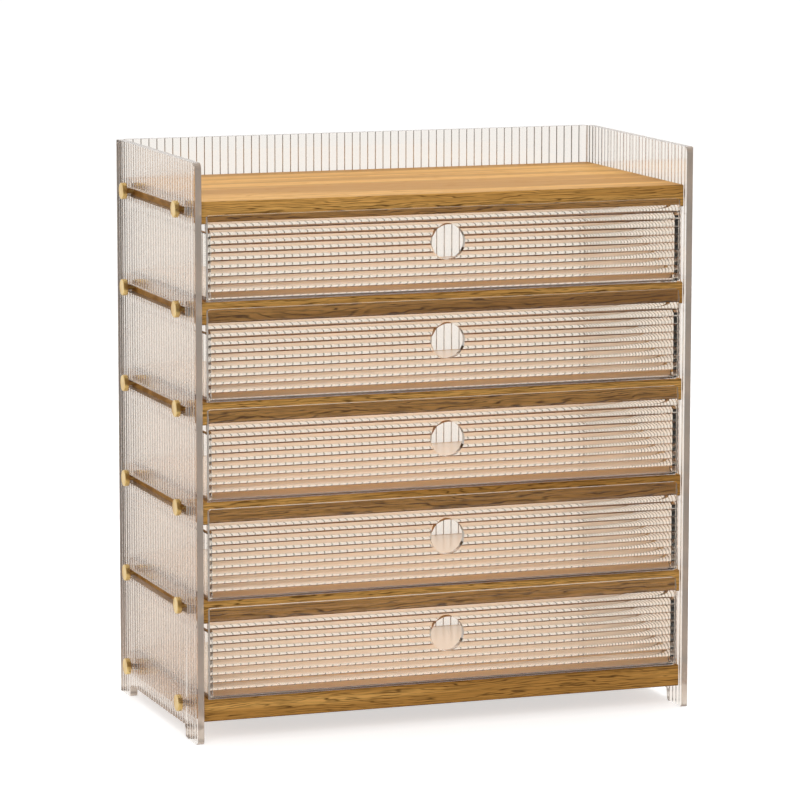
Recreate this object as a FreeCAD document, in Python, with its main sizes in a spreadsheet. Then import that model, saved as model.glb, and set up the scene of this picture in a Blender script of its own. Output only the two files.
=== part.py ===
"""Five-drawer tabletop organizer: fluted acrylic sides, back and drawers on six oak shelves.

Millimetres, +Z up.  The origin is on the ground under the centre of the bounding box, the
drawers face -Y.  Each panel body has its own origin on the plane of its flute valleys, so
that the flat core lies on one side of that plane and the ridges of the flutes on the other.
"""
import FreeCAD, Part
import math
import os
import re

import Sketcher

DRAWERS = 5
LEFT = -1
RIGHT = 1
SHANK_SIDES = 8
SHEET_FLUTE = ("flute_pitch", "flute_rise", "flute_flat")
FRONT_FLUTE = ("front_flute_pitch", "front_flute_rise", "front_flute_flat")

SIZES = {
    "overall_width": 360,          # outer flute crests of the two side panels
    "overall_depth": 186,          # side panels, front edge to rear edge
    "sheet_thickness": 5.5,        # side and back panels, over the flutes
    "flute_pitch": 5.8,            # side and back panels
    "flute_rise": 1.0,             # crest above valley
    "flute_flat": 2.0,             # flat crest of each flute
    "ground_gap": 14.5,            # floor to the underside of the bottom shelf
    "gallery_height": 26.5,        # panels above the top shelf
    "top_corner_radius": 4.5,      # upper corners of the side panels
    "foot_length": 25.5,           # each foot of a side panel, along Y
    "foot_height": 9,              # floor to the notch between the feet
    "foot_radius": 3,              # lower corners of the feet
    "notch_radius": 3.5,           # inner corners of the notch
    "shelf_thickness": 15,
    "shelf_chamfer": 0.8,          # long front edges of a shelf
    "shelf_setback": 5,            # panel front edge to shelf front edge
    "drawer_opening": 52.5,        # clear height between two shelves
    "slot_height": 6,              # slot in the side panel at a shelf's end
    "slot_front": 22,              # panel front edge to the slot
    "slot_rear": 19,               # slot to panel rear edge
    "screw_front": 37,             # panel front edge to the front screw
    "screw_rear": 24,              # rear screw to panel rear edge
    "head_diameter": 11.5,
    "head_height": 3.2,
    "shank_diameter": 4,
    "screw_reach": 14,             # shank inside the shelf
    "panel_hole_play": 0.6,        # screw hole in a panel wider than the shank
    "pilot_play": 0.1,             # pilot hole in a shelf wider and deeper than the shank
    "back_screw_margin": 40,       # outer back screw to the side of the back panel
    "front_side_gap": 4.4,         # drawer front to side panel
    "front_lift": 1.5,             # drawer front above its own shelf
    "front_overlap": 10.8,         # drawer front over the edge of the shelf above
    "first_front_overlap": 6,      # the same on the uppermost drawer
    "front_thickness": 4.6,        # over the flutes
    "front_flute_pitch": 5.24,
    "front_flute_start": 0.4,      # bottom edge of a drawer front to its first flute
    "front_flute_rise": 1.0,
    "front_flute_flat": 1.9,
    "front_chamfer": 1.5,          # corners of a drawer front
    "front_play": 0.4,             # closed drawer front to the shelf edge behind it
    "finger_hole": 24,             # diameter
    "finger_hole_level": 35,       # its centre above the drawer's shelf
    "wall_thickness": 3,           # drawer sides, back and floor
    "wall_headroom": 6,            # drawer walls to the shelf above
    "runner_play": 0.3,            # drawer floor above the shelf it slides on
    "drawer_rear_gap": 6,          # drawer to back panel
}

DERIVED = {
    "core": "=sheet_thickness - flute_rise",
    "inner_width": "=overall_width - 2 * sheet_thickness",
    "front_plane": "=-(overall_depth + head_height) / 2",
    "level_pitch": "=drawer_opening + shelf_thickness",
    "overall_height": "=ground_gap + shelf_thickness + %d * level_pitch + gallery_height" % DRAWERS,
    "shelf_depth": "=overall_depth - sheet_thickness - shelf_setback",
    "screw_span": "=overall_depth - screw_front - screw_rear",
    "back_height": "=overall_height - ground_gap",
    "front_width": "=inner_width - 2 * front_side_gap",
    "front_core": "=front_thickness - front_flute_rise",
    "front_face": "=shelf_setback - front_play - front_thickness",
    "wall_height": "=drawer_opening - runner_play - wall_headroom",
    "box_depth": "=overall_depth - sheet_thickness - drawer_rear_gap - front_face - front_thickness",
}


# ---------------------------------------------------------------- sheet and small helpers

def make_sheet(doc):
    """Spreadsheet with one aliased cell for each driving and each derived size."""
    sheet = doc.addObject("Spreadsheet::Sheet", "sizes")
    for row, (alias, content) in enumerate({**SIZES, **DERIVED}.items(), start=1):
        sheet.set("A%d" % row, alias)
        sheet.set("B%d" % row, str(content))
        sheet.setAlias("B%d" % row, alias)
    doc.recompute()
    return sheet


def with_sheet(expression):
    """The expression with every size name read from the spreadsheet."""
    names = {**SIZES, **DERIVED}
    return re.sub(r"[a-z_]+", lambda word: "sizes." * (word[0] in names) + word[0], expression)


def value(sketch, expression):
    """Present number behind an expression."""
    return float(sketch.evalExpression(with_sheet(expression)))


def bind(target, prop, expression):
    target.setExpression(prop, with_sheet(expression))


def origin_part(body, role):
    """Plane or axis of the body's own origin."""
    return next(part for part in body.Origin.OriginFeatures if part.Role == role)


def make_body(doc, name):
    body = doc.addObject("PartDesign::Body", name)
    body.Label = name
    body.AllowCompound = True
    return body


def place(target, x, y, z):
    """Position bound to the sheet."""
    bind(target, "Placement.Base.x", x)
    bind(target, "Placement.Base.y", y)
    bind(target, "Placement.Base.z", z)


def make_sketch(body, role, name):
    sketch = body.newObject("Sketcher::SketchObject", name)
    sketch.AttachmentSupport = [(origin_part(body, role), "")]
    sketch.MapMode = "FlatFace"
    return sketch


def extrude(body, kind, sketch, length=None, reverse=False):
    """Pad or Pocket of a sketch; without a length it is a cut right through, both ways."""
    feature = body.newObject("PartDesign::" + kind, sketch.Name + "_" + kind.lower())
    feature.Profile = sketch
    if length is None:
        feature.Type = "ThroughAll"
        feature.Midplane = True
    else:
        bind(feature, "Length", length)
        feature.Reversed = reverse
    sketch.Visibility = False
    body.Document.recompute()
    return feature


def repeat(body, features, axis, step, count):
    """LinearPattern of some features along an axis of the body's origin."""
    pattern = body.newObject("PartDesign::LinearPattern", features[0].Name + "_row")
    pattern.Originals = features
    pattern.Direction = (origin_part(body, axis), [""])
    bind(pattern, "Length", "( " + step + " ) * ( " + count + " - 1 )")
    bind(pattern, "Occurrences", count)
    body.Tip = pattern
    body.Document.recompute()
    return pattern


# ---------------------------------------------------------------- sketch shapes

ORIGIN = -1
X_AXIS = -1
Y_AXIS = -2
START, END, CENTRE = range(1, 4)


def vector(x, y):
    return FreeCAD.Vector(x, y, 0)


def set_distance(sketch, kind, geometry, point, expression):
    """Signed distance of a point from the sketch origin, along one sketch axis."""
    amount = value(sketch, expression)
    if abs(amount) < 1e-9:
        axis = Y_AXIS if kind == "DistanceX" else X_AXIS
        sketch.addConstraint(Sketcher.Constraint("PointOnObject", geometry, point, axis))
        return
    link = (ORIGIN, START, geometry, point)
    text = expression
    if amount < 0:
        link = (geometry, point, ORIGIN, START)
        text = "-( " + expression + " )"
    number = sketch.addConstraint(Sketcher.Constraint(kind, *link, abs(amount)))
    bind(sketch, "Constraints[%d]" % number, text)


def add_circle(sketch, x, y, diameter):
    centre = vector(value(sketch, x), value(sketch, y))
    radius = value(sketch, diameter) / 2
    circle = sketch.addGeometry(Part.Circle(centre, FreeCAD.Vector(0, 0, 1), radius))
    set_distance(sketch, "DistanceX", circle, CENTRE, x)
    set_distance(sketch, "DistanceY", circle, CENTRE, y)
    number = sketch.addConstraint(Sketcher.Constraint("Diameter", circle, 2 * radius))
    bind(sketch, "Constraints[%d]" % number, diameter)


def corner_arc(before, corner, after, radius):
    """Arc that rounds the corner between two axis-parallel runs, with its two ends."""
    inward = (before - corner).normalize()
    onward = (after - corner).normalize()
    first = corner + inward * radius
    last = corner + onward * radius
    centre = corner + (inward + onward) * radius
    middle = centre + (corner - centre).normalize() * radius
    return Part.Arc(first, middle, last), first, last


def add_outline(sketch, corners):
    """Closed outline of level and upright runs.

    Each corner is (x, y, radius) in sheet expressions; a radius of None leaves it sharp.
    """
    points = [vector(value(sketch, x), value(sketch, y)) for x, y, radius in corners]
    starts = []
    ends = []
    arcs = []
    for index, (x, y, radius) in enumerate(corners):
        before = points[index - 1]
        after = points[(index + 1) % len(points)]
        corner = points[index]
        if radius is None:
            arcs.append(None)
            ends.append(corner)
            starts.append(corner)
            continue
        arc, first, last = corner_arc(before, corner, after, value(sketch, radius))
        arcs.append((sketch.addGeometry(arc), first))
        ends.append(first)
        starts.append(last)
    runs = []
    for index in range(len(corners)):
        following = (index + 1) % len(corners)
        runs.append(sketch.addGeometry(Part.LineSegment(starts[index], ends[following])))
    for index, (x, y, radius) in enumerate(corners):
        hold_run(sketch, runs[index], points[index], points[(index + 1) % len(points)], x, y)
        hold_corner(sketch, runs[index - 1], arcs[index], runs[index], radius)


def hold_run(sketch, run, first, last, x, y):
    """Keep a run level or upright, and at its distance from the sketch origin."""
    if abs(first.x - last.x) < abs(first.y - last.y):
        sketch.addConstraint(Sketcher.Constraint("Vertical", run))
        set_distance(sketch, "DistanceX", run, START, x)
    else:
        sketch.addConstraint(Sketcher.Constraint("Horizontal", run))
        set_distance(sketch, "DistanceY", run, START, y)


def hold_corner(sketch, run_in, arc, run_out, radius):
    """Join two runs directly, or through a tangent arc of the given radius."""
    if arc is None:
        sketch.addConstraint(Sketcher.Constraint("Coincident", run_in, END, run_out, START))
        return
    number, first = arc
    near = START
    far = END
    if (sketch.getPoint(number, START) - first).Length > (sketch.getPoint(number, END) - first).Length:
        near, far = far, near
    sketch.addConstraint(Sketcher.Constraint("Tangent", run_in, END, number, near))
    sketch.addConstraint(Sketcher.Constraint("Tangent", number, far, run_out, START))
    held = sketch.addConstraint(Sketcher.Constraint("Radius", number, value(sketch, radius)))
    bind(sketch, "Constraints[%d]" % held, radius)


def add_polygon(sketch, corners):
    """Closed polygon with every corner dimensioned from the sketch origin."""
    points = [vector(value(sketch, x), value(sketch, y)) for x, y in corners]
    sides = []
    for index, point in enumerate(points):
        following = points[(index + 1) % len(points)]
        sides.append(sketch.addGeometry(Part.LineSegment(point, following)))
    for index, (x, y) in enumerate(corners):
        sketch.addConstraint(Sketcher.Constraint("Coincident", sides[index - 1], END, sides[index], START))
        set_distance(sketch, "DistanceX", sides[index], START, x)
        set_distance(sketch, "DistanceY", sides[index], START, y)


def add_rectangle(sketch, left, bottom, right, top):
    add_polygon(sketch, [(left, bottom), (right, bottom), (right, top), (left, top)])


def chamfered(width, height, cut, corners="1234"):
    """Corners of a rectangle from the sketch origin; the numbered ones are cut at 45 degrees."""
    sharp = [("0", "0"), (width, "0"), (width, height), ("0", height)]
    far = width + " - " + cut
    high = height + " - " + cut
    cuts = [
        [("0", cut), (cut, "0")],
        [(far, "0"), (width, cut)],
        [(width, high), (far, height)],
        [(cut, height), ("0", high)],
    ]
    outline = []
    for index, corner in enumerate(sharp):
        outline.extend(cuts[index] if str(index + 1) in corners else [corner])
    return outline


def add_shank_section(sketch, x, y, diameter):
    """Regular octagon around a screw axis: the plain section of shanks and of their holes."""
    centre = vector(value(sketch, x), value(sketch, y))
    radius = value(sketch, diameter) / 2
    guide = sketch.addGeometry(Part.Circle(centre, FreeCAD.Vector(0, 0, 1), radius), True)
    set_distance(sketch, "DistanceX", guide, CENTRE, x)
    set_distance(sketch, "DistanceY", guide, CENTRE, y)
    number = sketch.addConstraint(Sketcher.Constraint("Diameter", guide, 2 * radius))
    bind(sketch, "Constraints[%d]" % number, diameter)
    turn = 2 * math.pi / SHANK_SIDES
    angles = [(index + 0.5) * turn for index in range(SHANK_SIDES)]
    points = [centre + vector(radius * math.cos(angle), radius * math.sin(angle)) for angle in angles]
    sides = []
    for index, point in enumerate(points):
        following = points[(index + 1) % SHANK_SIDES]
        sides.append(sketch.addGeometry(Part.LineSegment(point, following)))
    for index, side in enumerate(sides):
        sketch.addConstraint(Sketcher.Constraint("Coincident", sides[index - 1], END, side, START))
        sketch.addConstraint(Sketcher.Constraint("PointOnObject", side, START, guide))
        if index:
            sketch.addConstraint(Sketcher.Constraint("Equal", sides[0], side))
    sketch.addConstraint(Sketcher.Constraint("Vertical", sides[-1]))


def add_flute(sketch, along, margin, flute, side):
    """One ridge: a low trapezium that stands on the sketch axis "along", to the given side."""
    pitch, rise, flat = flute
    crest = "%d * %s" % (side, rise)
    slope = "( %s - %s ) / 2" % (pitch, flat)
    corners = [
        (margin, "0"),
        (margin + " + " + slope, crest),
        (margin + " + " + pitch + " - " + slope, crest),
        (margin + " + " + pitch, "0"),
    ]
    if along == Y_AXIS:
        corners = [(out, run) for run, out in corners]
    add_polygon(sketch, corners)


# ---------------------------------------------------------------- fluted acrylic sheets

def flute_count(length, pitch):
    return "floor( " + length + " / " + pitch + " )"


def flute_margin(length, pitch):
    """Flat strip left at either side of the whole flutes."""
    return "( " + length + " - " + flute_count(length, pitch) + " * " + pitch + " ) / 2"


def panel_corners():
    """Outline of a side panel in (Y from its front edge, Z), feet and notch included."""
    foot = "foot_radius"
    notch = "notch_radius"
    top = "top_corner_radius"
    rear_foot = "overall_depth - foot_length"
    return [
        ("0", "0", foot),
        ("foot_length", "0", foot),
        ("foot_length", "foot_height", notch),
        (rear_foot, "foot_height", notch),
        (rear_foot, "0", foot),
        ("overall_depth", "0", foot),
        ("overall_depth", "overall_height", top),
        ("0", "overall_height", top),
    ]


def trim_to(body, role, name, draw, corners, width, height, pitch):
    """Cut away what lies outside an outline, up to a frame one flute pitch around it."""
    sketch = make_sketch(body, role, name)
    low = "-1 * " + pitch
    add_rectangle(sketch, low, low, width + " + " + pitch, height + " + " + pitch)
    draw(sketch, corners)
    return extrude(body, "Pocket", sketch)


def make_side_panel(doc, name, side):
    """Flat core, a row of upright flutes outside, slots at the upper shelves' ends."""
    body = make_body(doc, name)
    outline = make_sketch(body, "YZ_Plane", name + "_outline")
    add_outline(outline, panel_corners())
    extrude(body, "Pad", outline, "core", reverse=(side == RIGHT))

    flute = make_sketch(body, "XY_Plane", name + "_flute")
    margin = flute_margin("overall_depth", "flute_pitch")
    add_flute(flute, Y_AXIS, margin, SHEET_FLUTE, side)
    ridge = extrude(body, "Pad", flute, "overall_height")
    repeat(body, [ridge], "Y_Axis", "flute_pitch", flute_count("overall_depth", "flute_pitch"))
    trim_to(body, "YZ_Plane", name + "_trim", add_outline, panel_corners(),
            "overall_depth", "overall_height", "flute_pitch")

    cut_shelf_slots(body, name)
    cut_bottom_holes(body, name)
    across = "( overall_width / 2 - flute_rise )"
    place(body, across if side == RIGHT else "-1 * " + across, "front_plane", "0")
    return body


def cut_shelf_slots(body, name):
    """One slot at the end of each shelf but the bottom one."""
    slot = make_sketch(body, "YZ_Plane", name + "_slot")
    level = "ground_gap + shelf_thickness / 2 + level_pitch"
    low = level + " - slot_height / 2"
    high = level + " + slot_height / 2"
    add_rectangle(slot, "slot_front", low, "overall_depth - slot_rear", high)
    pocket = extrude(body, "Pocket", slot)
    repeat(body, [pocket], "Z_Axis", "level_pitch", str(DRAWERS))


def cut_bottom_holes(body, name):
    """Two round screw holes at the end of the bottom shelf."""
    holes = make_sketch(body, "YZ_Plane", name + "_holes")
    level = "ground_gap + shelf_thickness / 2"
    diameter = "shank_diameter + panel_hole_play"
    add_shank_section(holes, "screw_front", level, diameter)
    add_shank_section(holes, "overall_depth - screw_rear", level, diameter)
    extrude(body, "Pocket", holes)


def back_screw_step():
    return "( inner_width - 2 * back_screw_margin ) / 2"


def make_back_panel(doc):
    """Fluted sheet between the side panels, its flutes to the rear, screwed to two shelves."""
    body = make_body(doc, "back_panel")
    outline = make_sketch(body, "XZ_Plane", "back_outline")
    add_rectangle(outline, "0", "0", "inner_width", "back_height")
    extrude(body, "Pad", outline, "core")

    flute = make_sketch(body, "XY_Plane", "back_flute")
    margin = flute_margin("inner_width", "flute_pitch")
    add_flute(flute, X_AXIS, margin, SHEET_FLUTE, 1)
    ridge = extrude(body, "Pad", flute, "back_height")
    repeat(body, [ridge], "X_Axis", "flute_pitch", flute_count("inner_width", "flute_pitch"))

    holes = make_sketch(body, "XZ_Plane", "back_holes")
    diameter = "shank_diameter + panel_hole_play"
    for level in ("shelf_thickness / 2", "shelf_thickness / 2 + %d * level_pitch" % DRAWERS):
        add_shank_section(holes, "back_screw_margin", level, diameter)
    pocket = extrude(body, "Pocket", holes)
    repeat(body, [pocket], "X_Axis", back_screw_step(), "3")
    place(body, "-inner_width / 2", "front_plane + overall_depth - flute_rise", "ground_gap")
    return body


# ---------------------------------------------------------------- oak shelves

def shelf_name(level):
    """Levels count from the top, 1, to the bottom."""
    if level == 1:
        return "top_shelf"
    if level == DRAWERS + 1:
        return "bottom_shelf"
    return "shelf_%d" % level


def shelf_bottom(level):
    return "ground_gap + %d * level_pitch" % (DRAWERS + 1 - level)


def make_shelf(doc, level):
    """Board across the full inner width, with blind pilot holes for the cap screws."""
    name = shelf_name(level)
    body = make_body(doc, name)
    profile = make_sketch(body, "YZ_Plane", name + "_profile")
    add_polygon(profile, chamfered("shelf_depth", "shelf_thickness", "shelf_chamfer", corners="14"))
    board = extrude(body, "Pad", profile, "inner_width")
    board.Midplane = True

    bore_shelf_end(body, name, LEFT)
    bore_shelf_end(body, name, RIGHT)
    if level in (1, DRAWERS + 1):
        bore_shelf_back(body, name)
    place(body, "0", "front_plane + shelf_setback", shelf_bottom(level))
    return body


def bore_shelf_end(body, name, side):
    """Two pilot holes in one end of the board."""
    bores = make_sketch(body, "YZ_Plane", "%s_%s_bores" % (name, side_word(side)))
    bind(bores, "AttachmentOffset.Base.z", "%d * inner_width / 2" % side)
    for along in ("screw_front - shelf_setback", "screw_front - shelf_setback + screw_span"):
        add_shank_section(bores, along, "shelf_thickness / 2", "shank_diameter + pilot_play")
    extrude(body, "Pocket", bores, "screw_reach + pilot_play", reverse=(side == LEFT))


def bore_shelf_back(body, name):
    """Three pilot holes in the rear edge of the board."""
    bores = make_sketch(body, "XZ_Plane", name + "_back_bores")
    bind(bores, "AttachmentOffset.Base.z", "-shelf_depth")
    for step in (-1, 0, 1):
        along = "%d * %s" % (step, back_screw_step())
        add_shank_section(bores, along, "shelf_thickness / 2", "shank_diameter + pilot_play")
    extrude(body, "Pocket", bores, "screw_reach + pilot_play", reverse=True)


# ---------------------------------------------------------------- brass cap screws

def side_word(side):
    return "left" if side == LEFT else "right"


def head_section(seat, mirrored):
    """Half section of a screw head, from its axis to its rim."""
    sign = "-1 * " if mirrored else ""
    inside = sign + seat
    outside = sign + "( " + seat + " + head_height )"
    return [(inside, "0"), (outside, "0"), (outside, "head_diameter / 2"), (inside, "head_diameter / 2")]


def revolve(body, sketch, axis):
    feature = body.newObject("PartDesign::Revolution", sketch.Name + "_turned")
    feature.Profile = sketch
    feature.ReferenceAxis = (origin_part(body, axis), [""])
    feature.Angle = 360
    sketch.Visibility = False
    body.Document.recompute()
    return feature


def make_side_screws(doc, level):
    """Four screws of one shelf: a head and shank at either end, repeated front to rear."""
    name = shelf_name(level) + "_screws"
    body = make_body(doc, name)
    heads = make_sketch(body, "XZ_Plane", name + "_heads")
    add_polygon(heads, head_section("overall_width / 2", mirrored=True))
    add_polygon(heads, head_section("overall_width / 2", mirrored=False))
    features = [revolve(body, heads, "X_Axis")]
    for side in (LEFT, RIGHT):
        shank = make_sketch(body, "YZ_Plane", "%s_%s_shank" % (name, side_word(side)))
        bind(shank, "AttachmentOffset.Base.z", "%d * overall_width / 2" % side)
        add_shank_section(shank, "0", "0", "shank_diameter")
        features.append(extrude(body, "Pad", shank, "sheet_thickness + screw_reach", reverse=(side == RIGHT)))
    repeat(body, features, "Y_Axis", "screw_span", "2")
    place(body, "0", "front_plane + screw_front", shelf_bottom(level) + " + shelf_thickness / 2")
    return body


def make_back_screws(doc, level):
    """Three screws through the back panel into the rear edge of one shelf."""
    name = shelf_name(level) + "_back_screws"
    body = make_body(doc, name)
    head = make_sketch(body, "XY_Plane", name + "_head")
    add_polygon(head, [(y, x) for x, y in head_section("overall_depth", mirrored=False)])
    features = [revolve(body, head, "Y_Axis")]
    shank = make_sketch(body, "XZ_Plane", name + "_shank")
    bind(shank, "AttachmentOffset.Base.z", "-overall_depth")
    add_shank_section(shank, "0", "0", "shank_diameter")
    features.append(extrude(body, "Pad", shank, "sheet_thickness + screw_reach"))
    repeat(body, features, "X_Axis", back_screw_step(), "3")
    start = "-( " + back_screw_step() + " )"
    place(body, start, "front_plane", shelf_bottom(level) + " + shelf_thickness / 2")
    return body


# ---------------------------------------------------------------- acrylic drawers

def front_height(number):
    overlap = "first_front_overlap" if number == 1 else "front_overlap"
    return "( drawer_opening - front_lift + " + overlap + " )"


def make_drawer_front(doc, number):
    """Fluted sheet with level flutes in front, cut corners and a finger hole."""
    name = "drawer_%d_front" % number
    tall = front_height(number)
    body = make_body(doc, name)
    corners = chamfered("front_width", tall, "front_chamfer")
    outline = make_sketch(body, "XZ_Plane", name + "_outline")
    add_polygon(outline, corners)
    extrude(body, "Pad", outline, "front_core", reverse=True)

    flute = make_sketch(body, "YZ_Plane", name + "_flute")
    add_flute(flute, Y_AXIS, "front_flute_start", FRONT_FLUTE, -1)
    ridge = extrude(body, "Pad", flute, "front_width")
    count = flute_count("( " + tall + " - front_flute_start )", "front_flute_pitch")
    repeat(body, [ridge], "Z_Axis", "front_flute_pitch", count)
    trim_to(body, "XZ_Plane", name + "_trim", add_polygon, corners, "front_width", tall, "front_flute_pitch")

    hole = make_sketch(body, "XZ_Plane", name + "_finger_hole")
    add_circle(hole, "front_width / 2", "finger_hole_level - front_lift", "finger_hole")
    extrude(body, "Pocket", hole)
    level = shelf_bottom(number + 1) + " + shelf_thickness + front_lift"
    place(body, "-front_width / 2", "front_plane + front_face + front_flute_rise", level)
    return body


def make_plate(doc, name, length, width, height, x, y, z):
    """Plain acrylic plate of a drawer."""
    plate = doc.addObject("Part::Box", name)
    plate.Label = name
    bind(plate, "Length", length)
    bind(plate, "Width", width)
    bind(plate, "Height", height)
    place(plate, x, y, z)
    return plate


def make_drawer(doc, number):
    """Front, two sides, back and floor, glued edge to face."""
    prefix = "drawer_%d_" % number
    base = shelf_bottom(number + 1) + " + shelf_thickness + runner_play"
    behind = "front_plane + front_face + front_thickness"
    inner = "front_width - 2 * wall_thickness"
    left = "-front_width / 2"
    wall = "wall_thickness"
    tall = "wall_height"
    return [
        make_drawer_front(doc, number),
        make_plate(doc, prefix + "left_wall", wall, "box_depth", tall, left, behind, base),
        make_plate(doc, prefix + "right_wall", wall, "box_depth", tall,
                   "front_width / 2 - wall_thickness", behind, base),
        make_plate(doc, prefix + "back_wall", inner, wall, tall, left + " + wall_thickness",
                   behind + " + box_depth - wall_thickness", base),
        make_plate(doc, prefix + "floor", inner, "box_depth - wall_thickness", wall,
                   left + " + wall_thickness", behind, base),
    ]


# ---------------------------------------------------------------- assembly and export

def make_all(doc):
    made = [make_side_panel(doc, "left_side_panel", LEFT)]
    made.append(make_side_panel(doc, "right_side_panel", RIGHT))
    made.append(make_back_panel(doc))
    made.extend(make_shelf(doc, level) for level in range(1, DRAWERS + 2))
    made.extend(make_side_screws(doc, level) for level in range(1, DRAWERS + 2))
    made.extend(make_back_screws(doc, level) for level in (1, DRAWERS + 1))
    for number in range(1, DRAWERS + 1):
        made.extend(make_drawer(doc, number))
    return made


def check(doc, made):
    """Stop on any failed feature or any sub-part without a sound solid."""
    for item in doc.Objects:
        if "Invalid" in item.State or "Error" in item.State:
            raise RuntimeError("failed: " + item.Name)
    for item in made:
        shape = item.Shape
        if shape.isNull() or not shape.isValid() or not shape.Solids:
            raise RuntimeError("no sound solid: " + item.Label)


def main():
    doc = FreeCAD.newDocument("organizer")
    make_sheet(doc)
    made = make_all(doc)
    doc.recompute()
    check(doc, made)
    os.makedirs("parts", exist_ok=True)
    for item in made:
        item.Shape.exportStep("parts/" + item.Label + ".step")
        print(item.Label, len(item.Shape.Solids), round(item.Shape.Volume, 1))


main()
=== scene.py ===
"""Looks of the five-drawer organizer: fluted acrylic, oak boards and brass cap screws.

Metres, +Z up, drawers towards -Y.  Each finished piece lies at the origin with its place in
its mesh, so every finish reads Object coordinates that are the same as the model's own.
"""
import math

import bmesh
import bpy
from mathutils import Matrix, Vector
from mathutils.geometry import delaunay_2d_cdt


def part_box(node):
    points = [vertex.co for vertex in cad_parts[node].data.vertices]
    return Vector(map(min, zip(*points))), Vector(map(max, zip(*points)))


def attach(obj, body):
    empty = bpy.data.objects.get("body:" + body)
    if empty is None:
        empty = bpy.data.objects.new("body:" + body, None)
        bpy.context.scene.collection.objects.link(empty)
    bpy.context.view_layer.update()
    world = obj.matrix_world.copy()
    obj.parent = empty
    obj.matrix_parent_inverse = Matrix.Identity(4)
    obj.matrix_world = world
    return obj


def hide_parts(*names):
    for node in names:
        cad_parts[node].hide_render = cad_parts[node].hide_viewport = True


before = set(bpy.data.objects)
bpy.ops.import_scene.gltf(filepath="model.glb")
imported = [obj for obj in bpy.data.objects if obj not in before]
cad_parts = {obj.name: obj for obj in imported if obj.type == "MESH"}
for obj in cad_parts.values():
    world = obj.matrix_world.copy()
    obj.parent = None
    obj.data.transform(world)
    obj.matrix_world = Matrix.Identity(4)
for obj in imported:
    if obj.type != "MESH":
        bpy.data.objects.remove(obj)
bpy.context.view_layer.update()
scene = bpy.context.scene

MM = 0.001
DRAWERS = 5
LEFT, RIGHT = -1, 1

# ---------------------------------------------------------------- sizes, millimetres

WIDTH = 360.0
DEPTH = 186.0
HEIGHT = 393.5
SHEET = 5.5                    # side and back panels, over the flutes
FLUTE_RISE = 1.0
SHEET_PITCH = 5.8
FRONT_PITCH = 5.24
FRONT_START = 0.4              # bottom edge of a drawer front to its first flute
FRONT_THICK = 4.6
FRONT_Y = -94.6                # front edges of the panels, drawer fronts flush with them
GROUND_GAP = 14.5
BOARD = 15.0
LEVEL_PITCH = 67.5
SLOT_HEIGHT = 6.0
SLOT_FRONT = 22.0
SLOT_REAR = 19.0
SCREW_FRONT = 37.0
SCREW_REAR = 24.0
HEAD_RADIUS = 5.75
HEAD_HEIGHT = 3.2
SHANK_RADIUS = 2.0
SHANK_REACH = 14.0
HOLE_PLAY = 0.3                # screw hole in a panel, radius past that of the shank
BACK_SCREW_MARGIN = 40.0
FINGER_RADIUS = 12.0
FINGER_LEVEL = 35.0
CORNER_RADIUS = 4.5
FOOT_LENGTH = 25.5
FOOT_HEIGHT = 9.0
FOOT_RADIUS = 3.0
NOTCH_RADIUS = 3.5
FRONT_CORNER = 1.6
GLUE_LINE = 0.05               # drawer walls to the back of their front
TRAY_EDGE = 0.3                # eased edges of a tray
TRAY_LIP = 12.0                # matt strip of a tray floor behind the drawer front
BOARD_ROUND = 1.0              # long front edges of a board
BOARD_FREE = 0.25              # air between a board and the panels round it
SHEET_FREE = 0.25              # air between the back panel and the panels beside it
THREAD_LEAD = 0.8
THREAD_DEPTH = 0.3
THREAD_STEPS = 3               # rings of points in one turn of thread
HEAD_EDGE = 0.55               # rounding of a screw head
FOOT_TINT_LEVEL = 20.0         # level at which the sheets have their warmest tint
CUT_REACH = 5.0                # how far a flute's bend lines run past the sheet
INNER_HALF = WIDTH / 2 - SHEET
REAR_Y = FRONT_Y + DEPTH

# ---------------------------------------------------------------- fineness of the meshes

FLUTE_STEPS = 8
HOLE_STEPS = 72
SCREW_SIDES = 48
SCREW_HOLE_STEPS = 20
SMOOTH = 25                    # degrees between faces that shade as one surface

# ---------------------------------------------------------------- directions of faces

# Painted shade: a drawer front's flute steps that look down past this limit get a dark brown tint, a painted
# shade line.
FRONT_SHADE_STEP = -0.5        # a front's flute step that looks down past this
# Painted shade: a back panel's flute steps that look left past this limit get a brown tint, a painted shade
# line.
BACK_SHADE_STEP = -0.45        # a back panel's flute step that looks left past this
OFF_PLANE = 0.05               # a face of the flutes looks outwards by more than this
SQUARE_ON = 0.95               # a face that looks along an axis

# ---------------------------------------------------------------- acrylic values

ACRYLIC_IOR = 1.49
SHEET_DENSITY = 15.0
FRONT_DENSITY = 8.0

# ---------------------------------------------------------------- lamps and camera

SPACE_FILL_SIZE = (0.33, 0.16) # fill lamp in each drawer space, in metres
SPACE_FILL_POWER = 0.275
SPACE_FILL_DROP = 0.0005       # lamp below the board above it, in metres
CAMERA_TURN = (19.70, 8.609, 0.061)            # yaw, pitch and roll in degrees
CAMERA_PLACE = (-1.0221, -2.8519, 0.6716)      # metres
CAMERA_LENS = 196.99           # millimetres


# ---------------------------------------------------------------- node maths

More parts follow.
